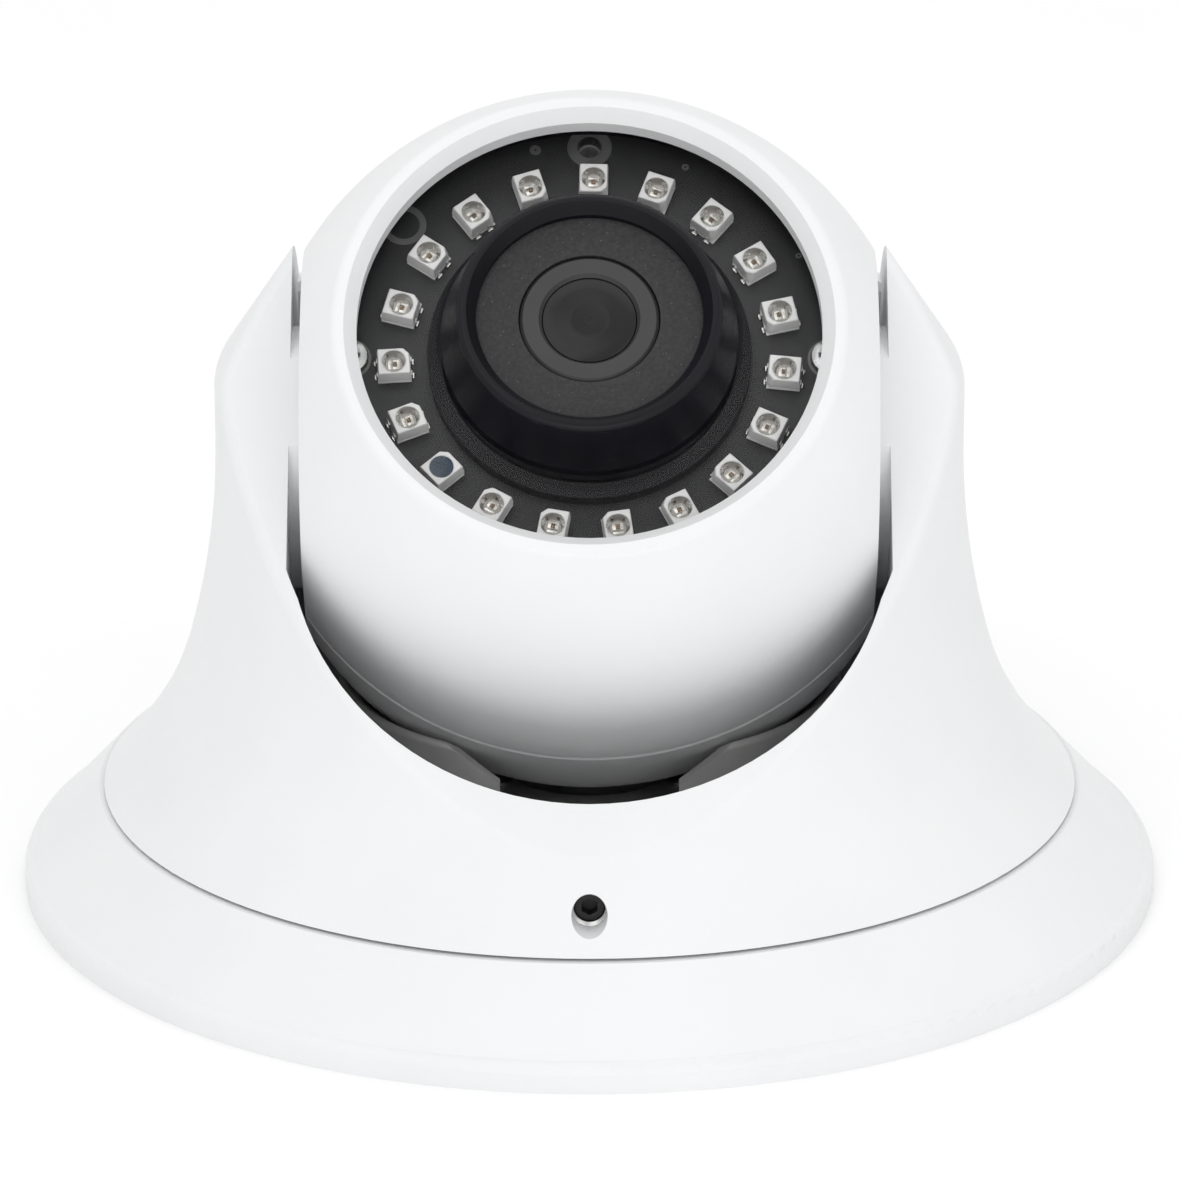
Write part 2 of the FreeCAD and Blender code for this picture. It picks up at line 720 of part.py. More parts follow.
def lens_holder():
    board = "main_board_front"
    foot = block("holder_foot", "18", "18", "2.8", "0", "0", board)
    tube = rod("holder_tube", "8", "11.4", "0", "0", board)
    bore = rod("holder_bore", "lens_thread_radius + 0.03", "12", "0", "0", board)
    cavity = block("holder_cavity", "10", "10", "1.9", "0", "0", board)
    solid = joined("holder_solid", [foot, tube])
    keep("lens_holder", cut_from("holder_hollow", solid, [bore, cavity]), on_lens_axis())
    glass = block("filter_glass", "9.8", "9.8", "0.6", "0", "0", board + " + 1.3")
    keep("ir_cut_filter", group("filter_only", [glass]), on_lens_axis())
    chip = block("sensor_chip", "7", "6", "0.9", "0", "0", board)
    keep("image_sensor", group("sensor_only", [chip]), on_lens_axis())


# ---- eyeball: main board --------------------------------------------------------------------------

def main_board():
    back = "main_board_front - 1.6"
    disc = rod("main_disc", "main_board_radius", "1.6", "0", "0", back)
    holes = circle_of_rods("main_hole", 4, "standoff_circle", "1.05", "3", back + " - 0.5", 45)
    keep("main_board", cut_from("main_disc_holed", disc, holes), on_lens_axis())

    outer = circle_of_rods("standoff", 4, "standoff_circle", "1.6",
                           "bracket_front - bracket_thickness - main_board_front", "main_board_front", 45)
    inner = circle_of_rods("standoff_tap", 4, "standoff_circle", "1", "20", "main_board_front - 1", 45)
    posts = [cut_from("standoff_post_%d" % n, outer[n], [inner[n]]) for n in range(4)]
    keep("board_standoffs", group("standoffs", posts), on_lens_axis())

    parts = {
        "processor": [("11", "11", "1.3", "-4", "0")],
        "board_connectors": [("8", "4.5", "4", "5.8", "8.6"), ("8", "4.5", "4", "5.8", "-8.6")],
        "inductor": [("5", "5", "3", "8", "0")],
    }
    for label, chips in parts.items():
        blocks = [block("%s_%d" % (label, number), length, width, height, x, y, back + " - " + height)
                  for number, (length, width, height, x, y) in enumerate(chips)]
        keep(label, group(label + "_set", blocks), on_lens_axis())
    cans = [rod("can_%d" % side, "2", "5.4", "-6", "%d * 10" % side, back + " - 5.4") for side in (-1, 1)]
    keep("capacitors", group("cans", cans), on_lens_axis())


def build():
    base_flange()
    base_gasket()
    swivel_washer()
    swivel_screws()
    shroud()
    ball_seat()
    lock_screw()
    pivots()
    front_housing()
    rear_housing()
    housing_oring()
    cable_gland()
    window()
    led_board()
    light_packages()
    screws_on_circle("led_board_screws", 2, "board_screw_circle", 90,
                     ("1.9", "0.9"), ("0.9", "-3.8"), "board_front")
    module_bracket()
    retaining_ring()
    lens_hood()
    lens_barrel()
    lens_elements()
    lens_holder()
    main_board()
    screws_on_circle("board_screws", 4, "standoff_circle", 45,
                     ("1.7", "-0.8"), ("0.95", "3.6"), "main_board_front - 1.6")
    doc.recompute()


def export():
    """Check every object, then write each sub-part to its own STEP file."""
    for thing in doc.Objects:
        if "Invalid" in thing.State or "Error" in thing.State:
            raise RuntimeError("%s did not build" % thing.Label)
    os.makedirs("parts", exist_ok=True)
    for thing in nodes:
        if thing.Shape.isNull() or not thing.Shape.isValid():
            raise RuntimeError("%s has no valid shape" % thing.Label)
        thing.Shape.exportStep("parts/%s.step" % thing.Label)


build()
export()
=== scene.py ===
import json
import math

import bmesh
import bpy
from mathutils import Matrix, Vector


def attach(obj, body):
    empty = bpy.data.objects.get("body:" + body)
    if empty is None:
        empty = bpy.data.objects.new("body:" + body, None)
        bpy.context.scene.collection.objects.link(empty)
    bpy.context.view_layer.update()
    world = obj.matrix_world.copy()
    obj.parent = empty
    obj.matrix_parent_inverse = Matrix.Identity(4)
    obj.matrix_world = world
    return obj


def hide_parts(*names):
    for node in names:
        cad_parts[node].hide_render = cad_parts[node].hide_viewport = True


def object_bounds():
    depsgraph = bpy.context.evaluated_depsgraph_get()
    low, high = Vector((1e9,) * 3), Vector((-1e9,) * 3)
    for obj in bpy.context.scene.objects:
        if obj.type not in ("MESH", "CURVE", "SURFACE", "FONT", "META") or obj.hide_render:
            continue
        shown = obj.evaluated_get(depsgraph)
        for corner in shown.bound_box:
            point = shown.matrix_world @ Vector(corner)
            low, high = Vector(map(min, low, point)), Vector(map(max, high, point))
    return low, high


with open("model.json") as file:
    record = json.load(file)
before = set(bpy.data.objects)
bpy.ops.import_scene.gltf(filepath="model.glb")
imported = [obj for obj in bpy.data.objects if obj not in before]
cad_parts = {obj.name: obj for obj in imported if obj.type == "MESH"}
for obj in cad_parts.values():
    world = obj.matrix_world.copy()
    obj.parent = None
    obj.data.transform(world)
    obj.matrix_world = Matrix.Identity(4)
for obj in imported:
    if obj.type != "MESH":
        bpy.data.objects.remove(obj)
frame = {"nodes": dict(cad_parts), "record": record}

# A turret camera on its round base, seen from the front and a little above. Metres throughout,
# in the CAD model's own frame: +Z along the pan axis, -Y to the front, +X along the tilt axis.

CAD_BOX = [list(corner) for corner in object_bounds()]
MM = 0.001

# The eyeball's own frame: its centre, and the lens axis 45 degrees above the horizon.
BALL_CENTRE = Vector((0, 0, 43.2)) * MM
LENS_ELEVATION = math.radians(45)
LENS_FRAME = Matrix.Translation(BALL_CENTRE) @ Matrix.Rotation(math.pi / 2 - LENS_ELEVATION, 4, "X")

# The light board: the height of its face along the lens axis, in millimetres from the ball's
# centre, and the radius on which its screw holes lie.
BOARD_TOP = 21.0
BOARD_SCREW_CIRCLE = 22.9

# The ring of lights.
PLACES = 19
SENSOR_PLACE = 12
FIRST_ANGLE = 1.2
LIGHT_CIRCLE = 18.6


# ---- material building -------------------------------------------------------------------------

def new_material(name):
    """An empty material with a principled shader; returns the tree and the shader."""
    material = bpy.data.materials.new(name)
    material.use_nodes = True
    tree = material.node_tree
    return material, tree, tree.nodes["Principled BSDF"]


def add(tree, kind, settings=None, **sockets):
    """A node with its settings, and each named socket set to a value or linked to an output."""
    node = tree.nodes.new(kind)
    for key, setting in (settings or {}).items():
        setattr(node, key, setting)
    for key, given in sockets.items():
        socket = node.inputs[key.replace("_", " ")]
        if isinstance(given, bpy.types.NodeSocket):
            tree.links.new(given, socket)
        else:
            socket.default_value = given
    return node


def object_coordinates(tree, stretch=(1, 1, 1)):
    place = add(tree, "ShaderNodeTexCoord")
    return add(tree, "ShaderNodeMapping", Vector=place.outputs["Object"], Scale=stretch).outputs["Vector"]


def noise(tree, scale, detail=2.0, stretch=(1, 1, 1)):
    texture = add(tree, "ShaderNodeTexNoise", Vector=object_coordinates(tree, stretch), Scale=scale,
                  Detail=detail, Roughness=0.55)
    return texture.outputs["Fac"]


def between(tree, factor, low, high, start=0.0, stop=1.0):
    """A number that runs from low to high as the factor goes from start to stop."""
    node = add(tree, "ShaderNodeMapRange", Value=factor)
    for socket, given in zip(("From Min", "From Max", "To Min", "To Max"), (start, stop, low, high)):
        node.inputs[socket].default_value = given
    return node.outputs["Result"]


def shades(tree, factor, *stops):
    """A colour ramp: each stop is (position, (r, g, b))."""
    ramp = tree.nodes.new("ShaderNodeValToRGB")
    while len(ramp.color_ramp.elements) < len(stops):
        ramp.color_ramp.elements.new(0.5)
    for element, (position, colour) in zip(ramp.color_ramp.elements, stops):
        element.position = position
        element.color = (*colour, 1)
    tree.links.new(factor, ramp.inputs["Fac"])
    return ramp.outputs["Color"]


def bump(tree, shader, *layers):
    """Stack (height, strength, depth in millimetres) layers on the shader's normal."""
    normal = None
    for height, strength, depth in layers:
        node = add(tree, "ShaderNodeBump", Height=height, Strength=strength, Distance=depth * MM)
        if normal is not None:
            tree.links.new(normal, node.inputs["Normal"])
        normal = node.outputs["Normal"]
    tree.links.new(normal, shader.inputs["Normal"])


def surface(name, dark, light, rough, metal=0.0, grain=900.0, depth=0.02, strength=0.4,
            stretch=(1, 1, 1), specular=0.5):
    """The plain case: a colour that wanders between two shades, wandering gloss, and a fine grain."""
    material, tree, shader = new_material(name)
    broad = noise(tree, grain / 12, 3)
    fine = noise(tree, grain, 3, stretch)
    tree.links.new(shades(tree, broad, (0.3, dark), (0.7, light)), shader.inputs["Base Color"])
    tree.links.new(between(tree, fine, rough * 0.85, rough * 1.15, 0.3, 0.7), shader.inputs["Roughness"])
    shader.inputs["Metallic"].default_value = metal
    shader.inputs["Specular IOR Level"].default_value = specular
    bump(tree, shader, (fine, strength, depth))
    return material


def painted_white():
    """Powder-coated casting: near white, satin, with a fine orange peel."""
    material, tree, shader = new_material("white_paint")
    cloud = noise(tree, 40, 3)
    peel = noise(tree, 950, 1.5)
    fine = noise(tree, 3200, 2)
    tree.links.new(shades(tree, cloud, (0.35, (0.77, 0.776, 0.784)), (0.65, (0.795, 0.8, 0.807))),
                   shader.inputs["Base Color"])
    tree.links.new(between(tree, fine, 0.36, 0.5, 0.3, 0.7), shader.inputs["Roughness"])
    shader.inputs["Specular IOR Level"].default_value = 0.45
    bump(tree, shader, (peel, 0.5, 0.06), (fine, 0.12, 0.02))
    return material


def clear(name, tint, gloss=0.03, shine=1.0):
    """Thin clear plastic: light passes straight through, with reflections by Fresnel."""
    material = bpy.data.materials.new(name)
    material.use_nodes = True
    tree = material.node_tree
    tree.nodes.clear()
    haze = noise(tree, 300, 2)
    through = add(tree, "ShaderNodeBsdfTransparent")
    tree.links.new(shades(tree, haze, (0.3, tint), (0.7, tuple(min(1, part * 1.02) for part in tint))),
                   through.inputs["Color"])
    reflect = add(tree, "ShaderNodeBsdfGlossy")
    tree.links.new(between(tree, haze, gloss * 0.8, gloss * 1.2), reflect.inputs["Roughness"])
    edge = add(tree, "ShaderNodeFresnel", IOR=1.46)
    weight = add(tree, "ShaderNodeMath", {"operation": "MULTIPLY"})
    tree.links.new(edge.outputs["Fac"], weight.inputs[0])
    weight.inputs[1].default_value = shine
    mix = add(tree, "ShaderNodeMixShader", Fac=weight.outputs["Value"])
    tree.links.new(through.outputs["BSDF"], mix.inputs[1])
    tree.links.new(reflect.outputs["BSDF"], mix.inputs[2])
    output = add(tree, "ShaderNodeOutputMaterial")
    tree.links.new(mix.outputs["Shader"], output.inputs["Surface"])
    return material


def grainy_black():
    """Flocked, granular baffle: matte charcoal, with tiny grey dots of painted glint on its grains."""
    material, tree, shader = new_material("black_grain")
    grain = noise(tree, 2600, 4)
    # Painted glints: rare tiny grey dots mixed into the colour stand in for grains catching the light.
    speck = add(tree, "ShaderNodeTexVoronoi", Vector=object_coordinates(tree), Scale=3600.0)
    glint_spot = between(tree, speck.outputs["Distance"], 1.0, 0.0, 0.05, 0.16)
    chosen = add(tree, "ShaderNodeSeparateColor", Color=speck.outputs["Color"])
    rare = between(tree, chosen.outputs["Red"], 0.0, 1.0, 0.86, 0.9)
    painted_glint = add(tree, "ShaderNodeMath", {"operation": "MULTIPLY"})
    tree.links.new(glint_spot, painted_glint.inputs[0])
    tree.links.new(rare, painted_glint.inputs[1])
    base = shades(tree, grain, (0.35, (0.014, 0.014, 0.0155)), (0.7, (0.032, 0.032, 0.034)))
    mixed = add(tree, "ShaderNodeMix", {"data_type": "RGBA"}, Factor=painted_glint.outputs["Value"])
    tree.links.new(base, mixed.inputs[6])
    mixed.inputs[7].default_value = (0.3, 0.3, 0.31, 1)
    tree.links.new(mixed.outputs[2], shader.inputs["Base Color"])
    tree.links.new(between(tree, grain, 0.6, 0.8), shader.inputs["Roughness"])
    bump(tree, shader, (grain, 0.8, 0.12))
    return material


def board_black():
    """Black solder mask: copper areas stand up a little beneath it."""
    material, tree, shader = new_material("black_board")
    pour = add(tree, "ShaderNodeTexVoronoi", {"distance": "CHEBYCHEV"},
               Vector=object_coordinates(tree), Scale=260.0)
    weave = noise(tree, 2400, 2)
    cloud = noise(tree, 160, 3)
    tree.links.new(shades(tree, cloud, (0.3, (0.014, 0.014, 0.0155)), (0.7, (0.021, 0.021, 0.0225))),
                   shader.inputs["Base Color"])
    tree.links.new(between(tree, weave, 0.38, 0.5, 0.3, 0.7), shader.inputs["Roughness"])
    edges = between(tree, pour.outputs["Distance"], 0.0, 1.0, 0.42, 0.46)
    bump(tree, shader, (edges, 0.18, 0.03), (weave, 0.25, 0.01))
    return material


MATERIALS = {
    "white_paint": painted_white(),
    "black_rubber": surface("black_rubber", (0.02, 0.02, 0.02), (0.035, 0.035, 0.035), 0.8),
    "cast_grey": surface("cast_grey", (0.5, 0.5, 0.49), (0.6, 0.6, 0.59), 0.45, 0.4, 1500, 0.05, 0.5),
    "steel": surface("steel", (0.5, 0.5, 0.5), (0.62, 0.62, 0.61), 0.3, 1.0, 1800, 0.01, 0.3, (1, 6, 1)),
    "dark_steel": surface("dark_steel", (0.012, 0.012, 0.012), (0.025, 0.025, 0.025), 0.4, 0.5, 1800),
    "brass": surface("brass", (0.5, 0.36, 0.14), (0.66, 0.5, 0.22), 0.32, 1.0, 1600),
    "clear_cover": clear("clear_cover", (0.985, 0.99, 0.99), 0.02, 0.22),
    "black_plastic": surface("black_plastic", (0.003, 0.0027, 0.0045), (0.0045, 0.004, 0.007), 0.36,
                             grain=1800, depth=0.012, specular=0.22),
    "black_board": board_black(),
    "led_white": surface("led_white", (0.9, 0.89, 0.88), (0.95, 0.94, 0.93), 0.4, grain=2500, depth=0.006),
    "led_resin": clear("led_resin", (0.93, 0.92, 0.9), 0.05, 0.9),
    "tinned": surface("tinned", (0.6, 0.59, 0.575), (0.78, 0.77, 0.75), 0.22, 1.0, 2500, 0.02, 0.6),
    "sensor_glass": surface("sensor_glass", (0.022, 0.035, 0.058), (0.032, 0.05, 0.08), 0.2, grain=1800,
                            depth=0.004),
    "black_grain": grainy_black(),
    "dark_ring": surface("dark_ring", (0.026, 0.026, 0.0275), (0.031, 0.031, 0.0325), 0.42, grain=3000,
                         depth=0.004, strength=0.25),
    "lens_glass": surface("lens_glass", (0.009, 0.009, 0.009), (0.0105, 0.0105, 0.0105), 0.2, grain=1500,
                          depth=0.002, specular=0.3),
    "lens_deep": surface("lens_deep", (0.017, 0.017, 0.018), (0.02, 0.02, 0.021), 0.3, grain=1500,
                         depth=0.002, specular=0.2),
    "filter_glass": clear("filter_glass", (0.55, 0.8, 0.85), 0.04),
    "sensor_chip": surface("sensor_chip", (0.06, 0.05, 0.09), (0.1, 0.09, 0.13), 0.2),
    "green_board": surface("green_board", (0.008, 0.09, 0.035), (0.014, 0.13, 0.05), 0.35),
    "chip_black": surface("chip_black", (0.018, 0.018, 0.019), (0.03, 0.03, 0.031), 0.5, grain=2500),
    "connector_white": surface("connector_white", (0.62, 0.6, 0.52), (0.72, 0.7, 0.62), 0.45),
    "capacitor_can": surface("capacitor_can", (0.55, 0.55, 0.56), (0.68, 0.68, 0.7), 0.3, 1.0, 1500),
    "die_gold": surface("die_gold", (0.11, 0.06, 0.03), (0.26, 0.16, 0.075), 0.35, 0.5, 3500),
    "pad_grey": surface("pad_grey", (0.13, 0.13, 0.13), (0.2, 0.2, 0.195), 0.4, 0.2, 3000),
}

for part in frame["record"]["subparts"]:
    mesh = frame["nodes"][part["node"]].data
    mesh.materials.clear()
    mesh.materials.append(MATERIALS[part["material_slot"]])
    for face in mesh.polygons:
        face.use_smooth = True


# ---- shape building ------------------------------------------------------------------------------
# Shapes are drawn in millimetres, standing on +Z, and then scaled and placed.

def turn_angles(steps, extra=()):
    """Evenly spread angles, with a few exact ones for corners."""
    return sorted({round(math.tau * step / steps, 6) for step in range(steps)}
                  | {round(angle % math.tau, 6) for angle in extra})


def circle(radius):
    return lambda angle: radius


def rectangle(half_x, half_y, corner=0.0):
    """A rectangle seen from its middle; corner is how much the (+x, -y) corner is cut off."""
    def reach(angle):
        x, y = math.cos(angle), math.sin(angle)
        far = min(half_x / max(abs(x), 1e-6), half_y / max(abs(y), 1e-6))
        if x > 0 and y < 0:
            far = min(far, (half_x + half_y - corner) / (x - y))
        return far
    return reach


def hexagon(flat):
    """A hexagon: flat is half the distance across its flats."""
    sixth = math.pi / 3
    return lambda angle: flat / math.cos((angle + sixth / 2) % sixth - sixth / 2)


def cross(arm, half_width):
    """A plus sign, for a screwdriver recess."""
    quarter = math.pi / 2
    def reach(angle):
        off = (angle + quarter / 2) % quarter - quarter / 2
        return min(arm / math.cos(off), half_width / max(abs(math.sin(off)), 1e-6))
    return reach


def stack(shape, levels, angles, place=Matrix(), material=0):
    """Join outlines one above another: each level is (outline, height), and the ends are capped."""
    rings = []
    for outline, height in levels:
        points = [Vector((outline(a) * math.cos(a), outline(a) * math.sin(a), height)) for a in angles]
        rings.append([shape.verts.new(place @ point) for point in points])
    count = len(angles)
    faces = []
    for lower, upper in zip(rings, rings[1:]):
        for n in range(count):
            m = (n + 1) % count
            faces.append(shape.faces.new((lower[n], lower[m], upper[m], upper[n])))
    faces.append(shape.faces.new(rings[0][::-1]))
    faces.append(shape.faces.new(rings[-1]))
    for face in faces:
        face.material_index = material
        face.smooth = True
    return faces


def ring(shape, profile, steps=128, place=Matrix(), material=0):
    """Spin a closed outline of (radius, height), drawn anticlockwise, about the axis."""
    turns = [math.tau * step / steps for step in range(steps)]
    rings = [[shape.verts.new(place @ Vector((r * math.cos(a), r * math.sin(a), z))) for a in turns]
             for r, z in profile]
    for inner, outer in zip(rings, rings[1:] + rings[:1]):
        for n in range(steps):
            m = (n + 1) % steps
            face = shape.faces.new((inner[n], inner[m], outer[m], outer[n]))
            face.material_index = material
            face.smooth = True


def bar(shape, low, high, place=Matrix(), material=0, ease=0.04):
    """A box between two corners with eased edges."""
    made = bmesh.ops.create_cube(shape, size=1)
    size = Vector(high) - Vector(low)
    middle = (Vector(high) + Vector(low)) / 2
    box = Matrix.Translation(middle) @ Matrix.Diagonal((*size, 1))
    bmesh.ops.transform(shape, matrix=place @ box, verts=made["verts"])
    faces = {face for vert in made["verts"] for face in vert.link_faces}
    edges = {edge for face in faces for edge in face.edges}
    for face in faces:
        face.material_index = material
    bmesh.ops.bevel(shape, geom=list(edges), offset=ease, segments=2, affect="EDGES", profile=0.5,
                    material=material)


def blob(shape, centre, size, place=Matrix(), material=0):
    """A squashed bead, such as solder or a short length of wire."""
    box = Matrix.Translation(Vector(centre)) @ Matrix.Diagonal((*size, 1))
    made = bmesh.ops.create_icosphere(shape, subdivisions=2, radius=1, matrix=place @ box)
    for vert in made["verts"]:
        for face in vert.link_faces:
            face.material_index = material
            face.smooth = True


def piece(name, shape, materials, body, stands_for=(), place=LENS_FRAME, sharp=32):
    """Turn a shape drawn in millimetres into a named piece that rides on a body."""
    bmesh.ops.recalc_face_normals(shape, faces=shape.faces)
    shape.transform(place @ Matrix.Scale(MM, 4))
    mesh = bpy.data.meshes.new(name)
    shape.to_mesh(mesh)
    shape.free()
    mesh.set_sharp_from_angle(angle=math.radians(sharp))
    for material in materials:
        mesh.materials.append(MATERIALS[material])
    made = bpy.data.objects.new(name, mesh)
    bpy.context.scene.collection.objects.link(made)
    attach(made, body)
    if stands_for:
        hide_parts(*stands_for)
    return made


# ---- the light board -------------------------------------------------------------------------------

def board_place(degrees, out):
    """A spot on the board's face, clockwise from its top and this far out; y points outwards."""
    return Matrix.Rotation(-math.radians(degrees), 4, "Z") @ Matrix.Translation((0, out, BOARD_TOP))


def light_place(number):
    """Where a package stands on the board: x across it, y outwards along its length."""
    return board_place(FIRST_ANGLE + 360 / PLACES * number, LIGHT_CIRCLE)


HALF_X, HALF_Y, CASE_TOP = 1.4, 1.6, 1.9
CORNER = math.atan2(HALF_Y, HALF_X)
CASE_ANGLES = turn_angles(40, (CORNER, math.pi - CORNER, math.pi + CORNER, -CORNER,
                               -CORNER - 0.16, -CORNER + 0.16))
CASE_LEVELS = [
    (rectangle(HALF_X, HALF_Y), 0.02),
    (rectangle(HALF_X, HALF_Y), 0.14),
    (rectangle(HALF_X - 0.3, HALF_Y - 0.3), 0.16),
    (rectangle(HALF_X - 0.3, HALF_Y - 0.3), 0.42),
    (rectangle(HALF_X, HALF_Y, 0.3), 0.44),
    (rectangle(HALF_X, HALF_Y, 0.4), 0.9),
    (rectangle(HALF_X - 0.08, HALF_Y - 0.08, 0.6), CASE_TOP - 0.08),
    (rectangle(HALF_X - 0.15, HALF_Y - 0.15, 0.6), CASE_TOP),
    (circle(1.22), CASE_TOP),
    (circle(1.16), CASE_TOP - 0.05),
    (circle(0.8), CASE_TOP - 0.85),
]


def light_cases():
    """Moulded packages: a foot, an undercut, a drafted body and a conical cup, one corner cut."""
    cases, sensor = bmesh.new(), bmesh.new()
    for number in range(PLACES):
        shape = sensor if number == SENSOR_PLACE else cases
        stack(shape, CASE_LEVELS, CASE_ANGLES, light_place(number))
    piece("light_cases", cases, ["led_white"], "eyeball", ["led_packages"])
    piece("sensor_case", sensor, ["led_white"], "eyeball", ["light_sensor"])


def light_resin():
    """The clear fill of each cup, with a slightly domed face; the sensor's is dark."""
    levels = [(circle(0.79), CASE_TOP - 0.84), (circle(1.14), CASE_TOP - 0.08),
              (circle(0.8), CASE_TOP - 0.01), (circle(0.4), CASE_TOP + 0.02)]
    angles = turn_angles(32)
    fills, dark = bmesh.new(), bmesh.new()
    for number in range(PLACES):
        stack(dark if number == SENSOR_PLACE else fills, levels, angles, light_place(number))
    piece("light_resin", fills, ["led_resin"], "eyeball", ["led_resin"], sharp=60)
    piece("sensor_fill", dark, ["sensor_glass"], "eyeball", ["sensor_resin"], sharp=60)


def light_dies():
    """In each cup: a split lead frame, the emitter on it and its bond wire."""
    shape = bmesh.new()
    floor_height = CASE_TOP - 0.84
    for number in range(PLACES):
        if number == SENSOR_PLACE:
            continue
        place = light_place(number)
        bar(shape, (-0.5, -0.55, floor_height - 0.03), (0.5, 0.12, floor_height + 0.02), place, 1, 0.01)
        bar(shape, (-0.5, 0.22, floor_height - 0.03), (0.5, 0.55, floor_height + 0.02), place, 1, 0.01)
        bar(shape, (-0.2, -0.28, floor_height + 0.02), (0.2, 0.1, floor_height + 0.2), place, 0, 0.02)
        for step in range(7):
            share = step / 6
            height = floor_height + 0.2 + 0.3 * math.sin(math.pi * share) - 0.15 * share
            blob(shape, (0, 0.42 * share - 0.08, height), (0.03, 0.05, 0.03), place, 1)
    piece("light_dies", shape, ["die_gold", "tinned"], "eyeball")


def light_feet():
    """Two bent tin legs at each end of every package, each in a bead of solder."""
    shape = bmesh.new()
    for number in range(PLACES):
        place = light_place(number)
        for side in (-1, 1):
            for across in (-0.72, 0.72):
                near, far = side * (HALF_Y - 0.1), side * (HALF_Y + 0.13)
                left, right = across - 0.26, across + 0.26
                low_y, high_y = min(near, far), max(near, far)
                bar(shape, (left, low_y, 0.5), (right, high_y, 0.66), place)
                wall = sorted((far, far - side * 0.13))
                bar(shape, (left, wall[0], 0.03), (right, wall[1], 0.66), place)
                blob(shape, (across, side * (HALF_Y + 0.2), 0.06), (0.34, 0.22, 0.14), place)
    piece("light_feet", shape, ["tinned"], "eyeball", ["led_leads"])


def board_marks():
    """Rings of bare pad round the board's screw holes, one more ring, and a few test points."""
    shape = bmesh.new()
    for degrees in (0, 90, 180, 270, -51):
        place = board_place(degrees, BOARD_SCREW_CIRCLE)
        inner = 1.18 if degrees % 90 == 0 else 1.5
        ring(shape, [(inner, 0.0), (2.15, 0.0), (2.15, 0.04), (inner, 0.04)], 48, place)
    for degrees, out, size in ((-13, 23.2, 0.55), (24, 22.7, 0.35), (61, 22.9, 0.3), (196, 14.8, 0.3)):
        ring(shape, [(0.12, 0.0), (size, 0.0), (size, 0.035), (0.12, 0.035)], 32, board_place(degrees, out))
    piece("board_marks", shape, ["pad_grey"], "eyeball")


def cross_head_screw(shape, place, radius, head, length):
    """A pan-head screw that stands on its joint, with a cross recess."""
    shank = 0.47 * radius
    crown = [(radius, 0.12), (radius, 0.45 * head), (0.93 * radius, 0.75 * head),
             (0.72 * radius, 0.95 * head), (0.62 * radius, head)]
    levels = [(circle(shank), -length), (circle(shank), 0.0), (circle(0.95 * radius), 0.0)]
    levels += [(circle(r), z) for r, z in crown]
    levels += [(cross(0.52 * radius, 0.13 * radius), head - 0.03),
               (cross(0.3 * radius, 0.1 * radius), 0.35 * head)]
    stack(shape, levels, turn_angles(64), place)


def board_screw_heads():
    """The two screws that hold the light board, at its left and right."""
    shape = bmesh.new()
    for degrees in (90, -90):
        cross_head_screw(shape, board_place(degrees, BOARD_SCREW_CIRCLE), 1.9, 0.9, 3.7)
    piece("board_screw_heads", shape, ["steel"], "eyeball", ["led_board_screws"])


# ---- the lens ------------------------------------------------------------------------------------------

def front_lens():
    """Dark coated glass, gently domed and nearly flush, with faint circles about its middle."""
    shape = bmesh.new()
    levels = [(4.4, 27.6), (4.4, 29.05), (4.1, 29.14), (3.2, 29.22), (1.95, 29.28), (1.9, 29.285),
              (1.75, 29.285), (1.7, 29.28), (0.55, 29.3), (0.45, 29.295), (0.2, 29.3)]
    faces = stack(shape, [(circle(r), z) for r, z in levels], turn_angles(96))
    for face in faces:
        middle = face.calc_center_median()
        if 1.7 < middle.xy.length < 1.94 or 0.45 < middle.xy.length < 0.56:
            face.material_index = 1
    piece("lens_face", shape, ["lens_glass", "lens_deep"], "eyeball", ["front_lens"], sharp=60)


# ---- the lock screw ----------------------------------------------------------------------------------

LOCK_HEIGHT = 13.3
LOCK_FRAME = Matrix.Translation(Vector((0, 0, LOCK_HEIGHT)) * MM) @ Matrix.Rotation(math.pi / 2, 4, "X")


def lock_screw():
    """Grub screw with a hex socket, and the bare thread of its hole in front of it."""
    shape = bmesh.new()
    back, front = 40.8, 42.9
    levels = [(circle(1.3), back), (circle(1.6), back + 0.3)]
    for step in range(4):
        levels += [(circle(1.45), back + 0.5 + 0.4 * step), (circle(1.6), back + 0.7 + 0.4 * step)]
    levels += [(circle(1.35), front), (hexagon(0.75), front - 0.02), (hexagon(0.72), front - 1.2)]
    stack(shape, levels, turn_angles(48))
    piece("lock_grub", shape, ["dark_steel"], "turntable", ["lock_screw"], LOCK_FRAME)

    thread = bmesh.new()
    outline = [(1.69, 43.7), (1.69, 42.95)]
    for step in range(4):
        outline += [(1.5, 43.0 + 0.2 * step), (1.63, 43.1 + 0.2 * step)]
    ring(thread, outline, 48)
    piece("lock_thread", thread, ["steel"], "turntable", (), LOCK_FRAME)


light_cases()
light_resin()
light_dies()
light_feet()
board_marks()
board_screw_heads()
front_lens()
lock_screw()


# ---- floor, light and camera ---------------------------------------------------------------------

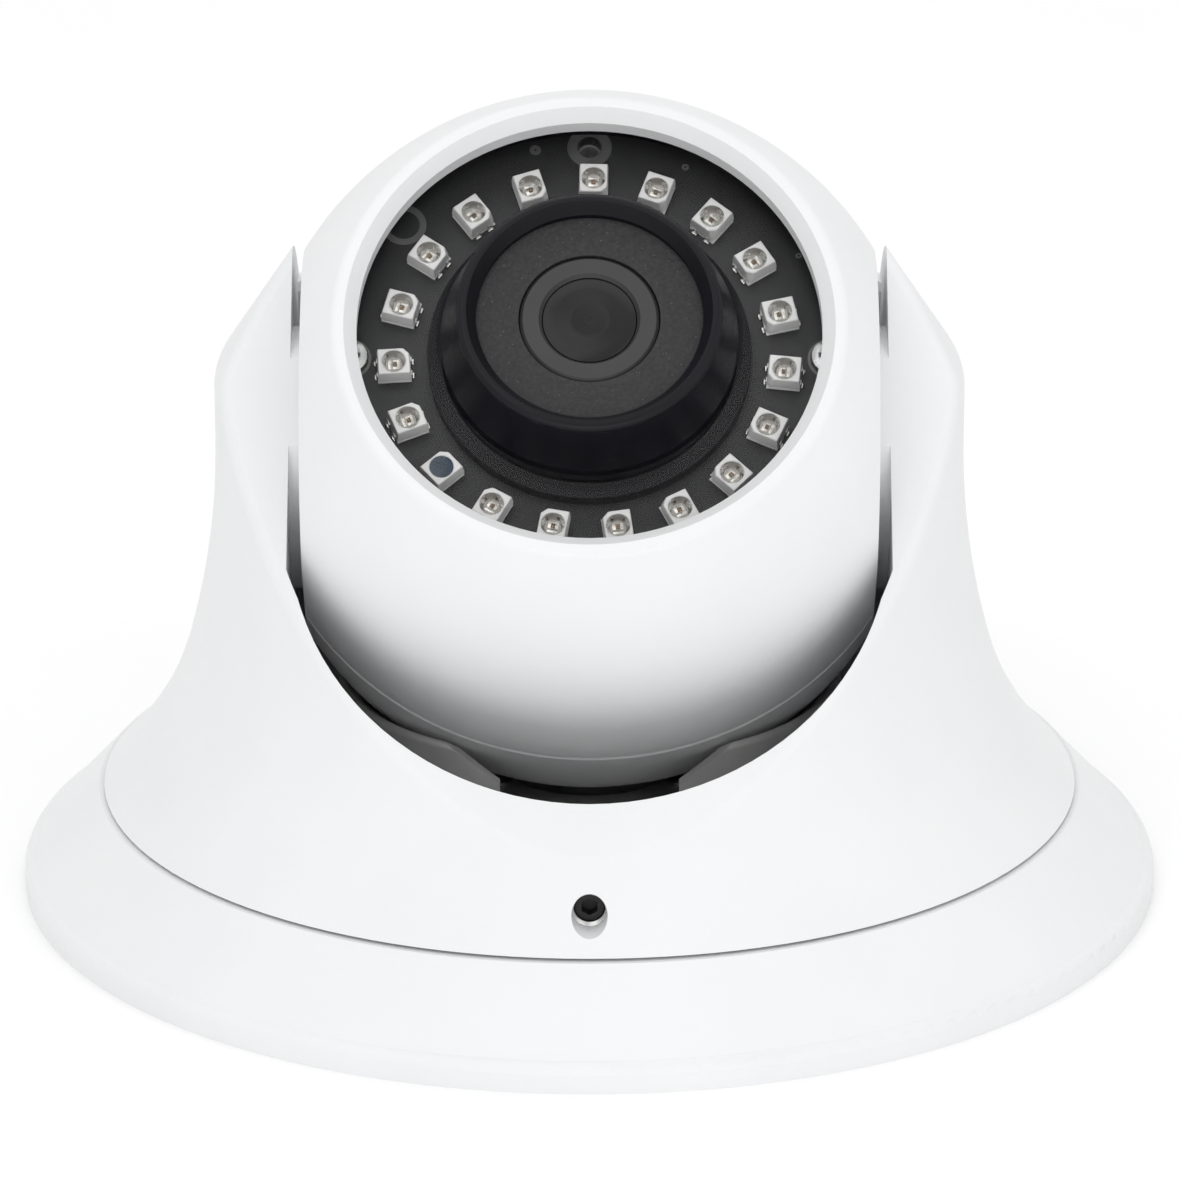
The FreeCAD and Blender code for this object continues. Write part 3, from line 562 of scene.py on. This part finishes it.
def floor():
    """A wide plain sheet under the object."""
    mesh = bpy.data.meshes.new("floor")
    shape = bmesh.new()
    bmesh.ops.create_grid(shape, x_segments=8, y_segments=8, size=4.0)
    shape.to_mesh(mesh)
    shape.free()
    sheet = bpy.data.objects.new("floor", mesh)
    sheet.location.z = CAD_BOX[0][2]
    bpy.context.scene.collection.objects.link(sheet)
    mesh.materials.append(surface("floor_white", (0.93, 0.93, 0.93), (0.95, 0.95, 0.95), 0.9,
                                  grain=60, depth=0.01))


def soft_box(name, place, aim, size, power):
    """A rectangular lamp that points at a spot."""
    light = bpy.data.lights.new(name, "AREA")
    light.shape = "RECTANGLE"
    light.size, light.size_y = size
    light.energy = power
    lamp = bpy.data.objects.new(name, light)
    lamp.location = place
    lamp.rotation_euler = (Vector(aim) - Vector(place)).to_track_quat("-Z", "Y").to_euler()
    bpy.context.scene.collection.objects.link(lamp)


def studio():
    """Even white surroundings, with lamps in front on the left and right, overhead, and low in front."""
    world = bpy.data.worlds.new("studio")
    world.use_nodes = True
    world.node_tree.nodes["Background"].inputs["Color"].default_value = (1, 1, 1, 1)
    world.node_tree.nodes["Background"].inputs["Strength"].default_value = 0.84
    bpy.context.scene.world = world
    bpy.context.scene.view_settings.view_transform = "Standard"
    middle = (0, 0, 0.04)
    soft_box("key", (-0.35, -0.55, 0.9), middle, (0.7, 0.7), 1.2)
    soft_box("fill", (0.6, -0.5, 0.55), middle, (0.6, 0.6), 0.6)
    soft_box("top", (0, 0.25, 0.9), middle, (0.9, 0.9), 1.7)
    soft_box("low", (0, -0.75, 0.03), middle, (0.8, 0.25), 1.5)


def camera():
    """Long lens, from the front and 20 degrees down."""
    data = bpy.data.cameras.new("camera")
    data.sensor_width = 36
    data.lens = 219
    data.shift_x = 0.00085
    data.clip_start, data.clip_end = 0.05, 20
    eye = bpy.data.objects.new("camera", data)
    eye.location = (0, -0.6653, 0.26895)
    eye.rotation_euler = (math.radians(90 - 19.81), 0, 0)
    bpy.context.scene.collection.objects.link(eye)
    bpy.context.scene.camera = eye


floor()
studio()
camera()
